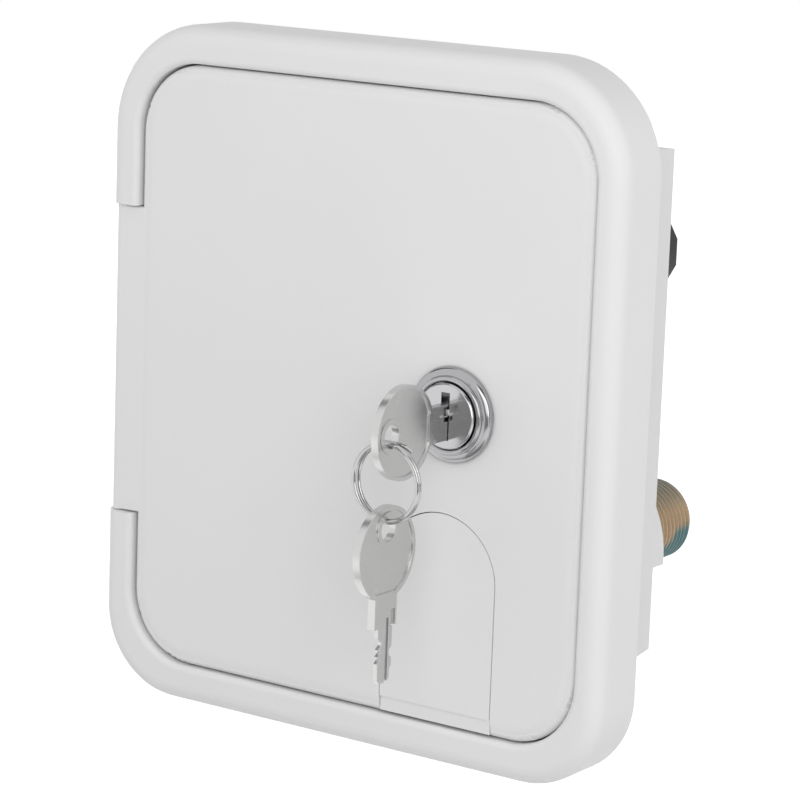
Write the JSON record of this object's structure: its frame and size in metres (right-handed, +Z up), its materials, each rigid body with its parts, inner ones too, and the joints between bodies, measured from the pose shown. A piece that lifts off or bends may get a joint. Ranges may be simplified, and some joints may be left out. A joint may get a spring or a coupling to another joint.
{
  "type": "caravan water inlet hatch",
  "caption": "Lockable flush water inlet: framed recess box with hinged door, hose flap, cam lock with keys on a ring, hose plug with check valve and threaded brass outlet.",
  "frame": {"origin": "on the vehicle's outer wall, behind the centre of the door opening", "axes": "+X right as seen from outside, +Y through the wall into the vehicle, +Z up"},
  "size_m": [0.1471, 0.1381, 0.1688],
  "materials": {
    "white_moulding": "fine satin moulded white",
    "white_door": "fine satin moulded white",
    "soft_seal": "closed-cell foam",
    "rubber": "smooth black rubber",
    "lock_chrome": "bright plated",
    "plated_steel": "zinc plated",
    "pin_steel": "drawn stainless wire and rod",
    "key_nickel": "nickel plated",
    "ring_nickel": "nickel plated wire",
    "brass": "machined, dull",
    "white_fitting": "moulded acetal",
    "valve_plastic": "moulded acetal",
    "dark_fitting": "moulded dark grey"
  },
  "bodies": {
    "housing": {"housing": "white_moulding", "keeper": "white_moulding", "wall_gasket": "soft_seal", "hinge_pin_upper": "pin_steel", "hinge_pin_lower": "pin_steel", "door_seal": "soft_seal", "inlet_body": "brass", "inlet_seal": "rubber", "tail_washer": "plated_steel", "tail_nut": "brass", "hose_plug": "white_fitting", "plug_o_ring": "rubber", "strainer": "white_fitting", "valve_cage": "valve_plastic", "valve_spring": "pin_steel", "port_plug": "dark_fitting", "port_seal": "rubber", "port_nut": "dark_fitting"},
    "door": {"door": "white_door", "flap_pin": "pin_steel", "flap_spring": "pin_steel", "lock_barrel": "lock_chrome", "lock_gasket": "rubber", "lock_washer": "plated_steel", "lock_nut": "plated_steel"},
    "hose_flap": {"hose_flap": "white_door"},
    "lock_plug": {"lock_plug": "lock_chrome", "cam": "plated_steel", "cam_washer": "plated_steel", "cam_screw": "plated_steel", "key_in_lock": "key_nickel"},
    "key_ring": {"key_ring": "ring_nickel"},
    "spare_key": {"spare_key": "key_nickel"},
    "valve_poppet": {"valve_poppet": "valve_plastic"}
  },
  "joints": [
    {"name": "door_hinge", "type": "hinge", "parent": "housing", "child": "door", "pos_m": [-0.0711, -0.013, 0], "axis": [0, 0, -1], "range_deg": [0, 110]},
    {"name": "lock_turn", "type": "hinge", "parent": "door", "child": "lock_plug", "pos_m": [0.0297, -0.0193, 0.0006], "axis": [0, 1, 0], "range_deg": [0, 90]},
    {"name": "ring_follow", "type": "hinge", "parent": "lock_plug", "child": "key_ring", "pos_m": [0.03009, -0.04175, -0.00691], "axis": [0, -1, 0], "range_deg": [0, 90]},
    {"name": "spare_swing", "type": "hinge", "parent": "key_ring", "child": "spare_key", "pos_m": [0.0297, -0.04175, -0.02027], "axis": [1, 0, 0], "range_deg": [-20, 20]},
    {"name": "flap_hinge", "type": "hinge", "parent": "door", "child": "hose_flap", "pos_m": [0.0273, -0.0105, -0.031], "axis": [1, 0, 0], "range_deg": [0, 35], "stiffness_Nm_per_rad": 0.01, "springref_deg": -20.05},
    {"name": "valve_slide", "type": "slide", "parent": "housing", "child": "valve_poppet", "axis": [0, 1, 0], "range_m": [0, 0.003], "stiffness_N_per_m": 20, "springref_m": -0.01, "deforming": ["valve_spring"]}
  ],
  "couplings": [
    {"joint": "ring_follow", "follows": "lock_turn", "ratio": 1}
  ]
}
